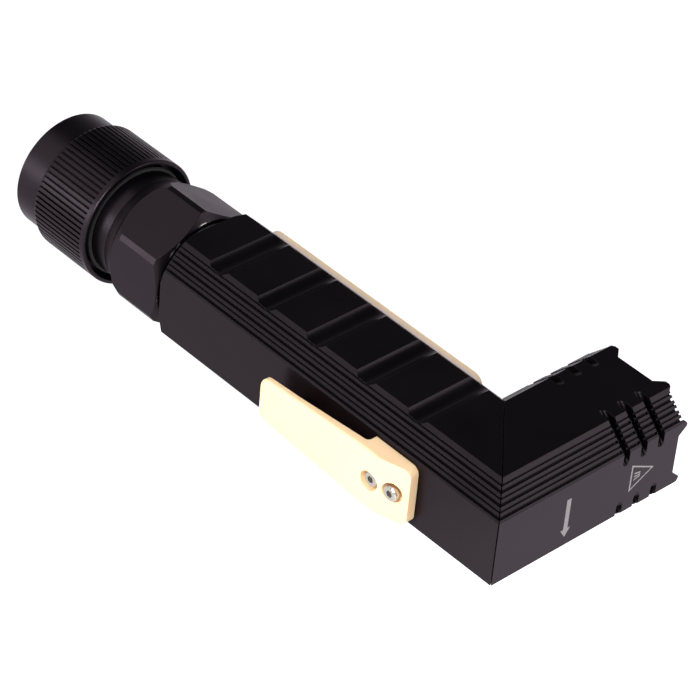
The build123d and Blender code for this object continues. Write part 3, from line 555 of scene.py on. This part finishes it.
def stroke(start: tuple[float, float], end: tuple[float, float], width: float) -> Outline:
    """Outline of a straight bar.

    Args:
        start: middle of one end.
        end: middle of the other end.
        width: width of the bar.

    Returns:
        Four corners.
    """
    a, b = Vector(start), Vector(end)
    side = (b - a).normalized().orthogonal() * width / 2
    return [tuple(a - side), tuple(b - side), tuple(b + side), tuple(a + side)]


# ---- sub-assemblies --------------------------------------------------------------------
@dataclass
class BodyAssembly:
    """Square body, collar and neck, with clip, screws and strip."""

    def build(self) -> None:
        """Dresses the body's visible nodes."""
        dress(["body_shell"], ANODISED)
        dress(["rear_collar"], COLLAR_TURNED)
        dress(["pocket_clip"], MOULDED)
        dress(["side_strip"], STRIP)
        dress(["clip_screws"], STEEL)
        dress(["collar_seal", "cap_seal"], RUBBER)


@dataclass
class PowerAssembly:
    """Cell, springs, driver and its leads, inside the body."""

    def build(self) -> None:
        """Dresses the inside of the body."""
        dress(["cell"], SLEEVE)
        dress(["cell_cap"], NICKEL)
        dress(["front_spring"], SPRING)
        dress(["driver_board"], GREEN_MASK)
        dress(["driver_ring"], BRASS)
        dress(["driver_components"], BLACK_NYLON)
        dress(["driver_leads"], JACKET)


@dataclass
class SwivelAssembly:
    """Pivot of the elbow, with its bearing, seal and click ball."""

    def build(self) -> None:
        """Dresses the pivot."""
        dress(["swivel_bush"], ACETAL)
        dress(["swivel_washer", "detent_ball"], STEEL)
        dress(["detent_spring"], SPRING)
        dress(["swivel_tube", "swivel_nut"], TURNED_STEEL)
        dress(["swivel_seal"], RUBBER)
        dress(["head_leads"], JACKET)


@dataclass
class HeadMarks:
    """Arrow and caution triangle marked on the head's outer face.

    Across runs along Y from the elbow, and up runs along Z, both in millimetres.
    """

    height: float = 0.02
    arrow_across: float = 6.2
    arrow_ends: tuple[float, float] = (4.2, -5.7)
    arrow_neck: float = -3.6
    shaft_width: float = 1.2
    arrow_width: float = 2.75
    triangle: tuple[tuple[float, float], ...] = ((24.3, 3.8), (31.2, 0.3), (24.3, -3.2))
    line: float = 0.36
    mitre: float = 0.72
    sink: float = 0.01
    bar_ends: tuple[float, float] = (-1.25, 0.55)
    bar_offsets: tuple[float, ...] = (-0.85, 0.0, 0.85)
    bar_taper: float = 0.55

    def arrow(self) -> Outline:
        """Outline of the arrow, pointing down."""
        middle, half, wide = self.arrow_across, self.shaft_width / 2, self.arrow_width / 2
        top, tip = self.arrow_ends
        return [(middle - half, top), (middle + half, top), (middle + half, self.arrow_neck),
                (middle + wide, self.arrow_neck), (middle, tip), (middle - wide, self.arrow_neck),
                (middle - half, self.arrow_neck)]

    def warning(self) -> list[Outline]:
        """Outlines of the triangle's sides and of the plain bars inside it."""
        corners = [Vector(c) for c in self.triangle]
        centre = sum(corners, Vector((0.0, 0.0))) / 3
        shares = [1 - 3 * self.line / (a - centre).length * self.mitre for a in corners]
        inner = [centre + (a - centre) * s for a, s in zip(corners, shares)]
        sides = []
        for i in range(3):
            j = (i + 1) % 3
            sides.append([tuple(corners[i]), tuple(corners[j]), tuple(inner[j]), tuple(inner[i])])
        low, high = self.bar_ends
        bars = [stroke((centre.x + low, centre.y + offset),
                       (centre.x + high, centre.y + offset * self.bar_taper), self.line)
                for offset in self.bar_offsets]
        return [*sides, *bars]

    def build(self) -> None:
        """Builds both marks on the head's outer face."""
        low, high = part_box("head_shell")
        joint = next(j for j in frame["joints"] if j["name"] == "head_twist")
        elbow = Vector(joint["pos_m"])

        def on_face(across: float, up: float, height: float) -> Vector:
            """Point on the outer face."""
            return Vector((high.x + (height - self.sink) * MM, elbow.y + across * MM, up * MM))

        for name, outlines in (("head_arrow", [self.arrow()]), ("head_caution", self.warning())):
            mesh = plate(name, outlines, on_face, self.height)
            piece(name, mesh, LASER_MARK, "head")


@dataclass
class HeadAssembly:
    """Head shell with its optics."""

    phosphor_half: float = 1.6
    phosphor_rise: float = 0.12
    sink: float = 0.01

    def build(self) -> None:
        """Dresses the head and adds the LED's phosphor."""
        dress(["head_shell"], ANODISED)
        dress(["lens_ring"], LENS_RING_BLACK)
        dress(["lens_seal"], RUBBER)
        dress(["front_lens"], GLASS)
        dress(["reflector"], METALLISED)
        dress(["centring_gasket"], ACETAL)
        dress(["led_dome"], SILICONE_LENS)
        dress(["led_emitter"], CERAMIC)
        dress(["led_board"], WHITE_MASK)
        dress(["board_screws"], STEEL)
        dress(["led_carrier"], TURNED_ALUMINIUM)
        self.phosphor()

    def phosphor(self) -> None:
        """Lays the phosphor square on the LED, under its dome."""
        low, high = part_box("led_emitter")
        middle = (low + high) / 2

        def on_chip(across: float, up: float, height: float) -> Vector:
            """Point over the LED's package."""
            return Vector((middle.x + across * MM, high.y + (height - self.sink) * MM, middle.z + up * MM))

        half = self.phosphor_half
        square = [(-half, -half), (half, -half), (half, half), (-half, half)]
        mesh = plate("led_phosphor", [square], on_chip, self.phosphor_rise)
        piece("led_phosphor", mesh, PHOSPHOR, "head")


@dataclass
class RubberBoot:
    """Rubber button with raised rings on its face; the rim lists station and inset."""

    radius: float = 6.0
    skirt: float = 4.0
    wall: float = 1.4
    ring_radii: tuple[float, ...] = (1.4, 2.8, 4.2)
    ring_half: float = 0.28
    dish: float = 0.35
    ring_rise: float = 0.3
    rim_inset: float = 1.2
    rim: tuple[tuple[float, float], ...] = ((0.06, 0.9), (0.0, 0.6), (0.08, 0.25), (0.35, 0.05),
                                            (0.7, 0.0))
    core: float = 0.02

    def profile(self) -> Outline:
        """Outline of station and radius, from the centre of the face round to the inside."""
        foot, crest, top = self.ring_half * 1.6, self.ring_half * 0.5, self.dish - self.ring_rise
        face = [(self.dish, self.core)]
        for r in self.ring_radii:
            face += [(self.dish, r - foot), (top, r - crest), (top, r + crest), (self.dish, r + foot)]
        face.append((self.dish, self.radius - self.rim_inset))
        face += [(station, self.radius - inset) for station, inset in self.rim]
        back = [(self.skirt, self.radius), (self.skirt, self.radius - self.wall),
                (self.wall, self.radius - self.wall), (self.wall, self.core)]
        return [*face, *back]

    def build(self) -> None:
        """Builds the boot in place of its plain solid."""
        low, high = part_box("button_boot")
        centre = Vector((low.x, (low.y + high.y) / 2, (low.z + high.z) / 2))
        mesh = lathe("tail_boot", self.profile(), centre)
        piece("tail_boot", mesh, RUBBER, "tail_button", ["button_boot"])


@dataclass
class TailAssembly:
    """Knurled cap with its magnet and switch."""

    boot: RubberBoot = field(default_factory=RubberBoot)

    def build(self) -> None:
        """Dresses the cap and builds the boot."""
        dress(["tail_cap"], ANODISED_TURNED)
        dress(["tail_magnet"], NICKEL)
        dress(["boot_seal"], RUBBER)
        dress(["switch_housing", "button_plunger"], BLACK_NYLON)
        dress(["switch_ring"], BRASS)
        dress(["switch_board"], GREEN_MASK)
        dress(["tail_spring"], SPRING)
        self.boot.build()


# ---- stage, lights and camera ----------------------------------------------------------
@dataclass(frozen=True)
class SoftBox:
    """A rectangular studio light, aimed at the middle of the torch."""

    name: str
    away: tuple[float, float, float]
    distance: float
    size: tuple[float, float]
    power: float

    def build(self, aim: Vector) -> None:
        """Hangs the light.

        Args:
            aim: point that it faces.
        """
        lamp = bpy.data.lights.new(self.name, "AREA")
        lamp.shape = "RECTANGLE"
        lamp.size, lamp.size_y = self.size
        lamp.energy = self.power
        made = bpy.data.objects.new(self.name, lamp)
        direction = Vector(self.away).normalized()
        made.location = aim + direction * self.distance
        made.rotation_mode = "QUATERNION"
        made.rotation_quaternion = direction.to_track_quat("Z", "Y")
        bpy.context.scene.collection.objects.link(made)


@dataclass
class Studio:
    """Pale floor, open backdrop and soft lights; lengths are in metres, powers in watts.

    The sky fades between two rises, each the sine of an angle over the horizon.
    """

    half: float = 4.0
    floor_gap: float = 0.0001
    sky_rises: tuple[float, float] = (0.05, 0.6)
    sky_levels: tuple[float, float] = (0.8, 0.1)
    lights: tuple[SoftBox, ...] = (
        SoftBox("key", (0.24, -0.76, 0.6), 0.9, (0.5, 0.5), 11.2),
        SoftBox("left", (-0.556, -0.42, 0.7), 1.0, (0.7, 0.7), 1.6),
        SoftBox("low_left", (-0.56, -0.78, 0.2), 1.0, (0.35, 0.35), 2.2),
        SoftBox("back", (0.61, 0.56, 0.556), 0.9, (0.4, 0.4), 1.6),
    )

    def floor(self, level: float) -> None:
        """Lays the floor.

        Args:
            level: height of the floor in metres.
        """
        corners = [(-1, -1), (1, -1), (1, 1), (-1, 1)]
        mesh = bpy.data.meshes.new("floor")
        mesh.from_pydata([(self.half * x, self.half * y, level) for x, y in corners], [], [(0, 1, 2, 3)])
        made = bpy.data.objects.new("floor", mesh)
        bpy.context.scene.collection.objects.link(made)
        mesh.materials.append(PAPER.material())
        made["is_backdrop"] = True

    def sky(self) -> None:
        """Pale grey to the camera, and dim above a pale horizon in reflections."""
        world = bpy.data.worlds.new("studio")
        world.use_nodes = True
        tree = world.node_tree
        tree.nodes.clear()
        ray = add(tree, Node.COORDINATES).outputs["Generated"]
        height = add(tree, Node.SPLIT, {0: ray}).outputs[2]
        band = add(tree, Node.RANGE, {
            "Value": height, "From Min": self.sky_rises[0], "From Max": self.sky_rises[1],
            "To Min": self.sky_levels[0], "To Max": self.sky_levels[1]}).outputs[0]
        seen = add(tree, Node.LIGHT_PATH).outputs["Is Camera Ray"]
        level = add(tree, Node.MIX, {"Factor": seen, "A": band, "B": 1.0}).outputs["Result"]
        glow = add(tree, Node.BACKGROUND, {"Strength": level}).outputs[0]
        add(tree, Node.WORLD_OUTPUT, {0: glow})
        bpy.context.scene.world = world

    def build(self, low: Vector, high: Vector) -> None:
        """Sets the stage round the torch.

        Args:
            low: lowest corner of the torch.
            high: highest corner of the torch.
        """
        self.floor(low.z - self.floor_gap)
        self.sky()
        for light in self.lights:
            light.build((low + high) / 2)
        bpy.context.scene.view_settings.view_transform = "Standard"


@dataclass(frozen=True)
class Viewpoint:
    """Camera set by its angles round the elbow; lengths are in millimetres."""

    azimuth: float = 44.568
    elevation: float = 37.607
    roll: float = 5.51
    distance: float = 664.124
    focal: float = 170.248
    sensor: float = 36.0
    slide: tuple[float, float] = (-29.364, 28.273)
    clip: tuple[float, float] = (50.0, 20000.0)

    def build(self, centre: Vector) -> None:
        """Places the camera.

        Args:
            centre: the elbow's centre, in metres.
        """
        turn, rise, lean = (math.radians(a) for a in (self.azimuth, self.elevation, self.roll))
        back = Vector((math.sin(turn) * math.cos(rise), -math.cos(turn) * math.cos(rise), math.sin(rise)))
        level = Vector((math.cos(turn), math.sin(turn), 0.0))
        raised = back.cross(level)
        right = math.cos(lean) * level + math.sin(lean) * raised
        up = math.cos(lean) * raised - math.sin(lean) * level
        lens = bpy.data.cameras.new("camera")
        lens.lens, lens.sensor_width = self.focal, self.sensor
        lens.clip_start, lens.clip_end = (MM * reach for reach in self.clip)
        made = bpy.data.objects.new("camera", lens)
        place = centre + MM * (right * self.slide[0] + up * self.slide[1] + back * self.distance)
        made.matrix_world = Matrix.Translation(place) @ Matrix((right, up, back)).transposed().to_4x4()
        bpy.context.scene.collection.objects.link(made)
        bpy.context.scene.camera = made


def main() -> None:
    """Builds everything in order."""
    logging.basicConfig(level=logging.INFO, format="%(name)s %(message)s")
    low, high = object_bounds()
    hinge = next(j for j in frame["joints"] if j["name"] == "head_twist")
    Viewpoint().build(Vector(hinge["pos_m"]))
    for assembly in (BodyAssembly(), PowerAssembly(), SwivelAssembly(), HeadAssembly(), HeadMarks(),
                     TailAssembly()):
        assembly.build()
    Studio().build(low, high)


if __name__ == "__main__":
    main()
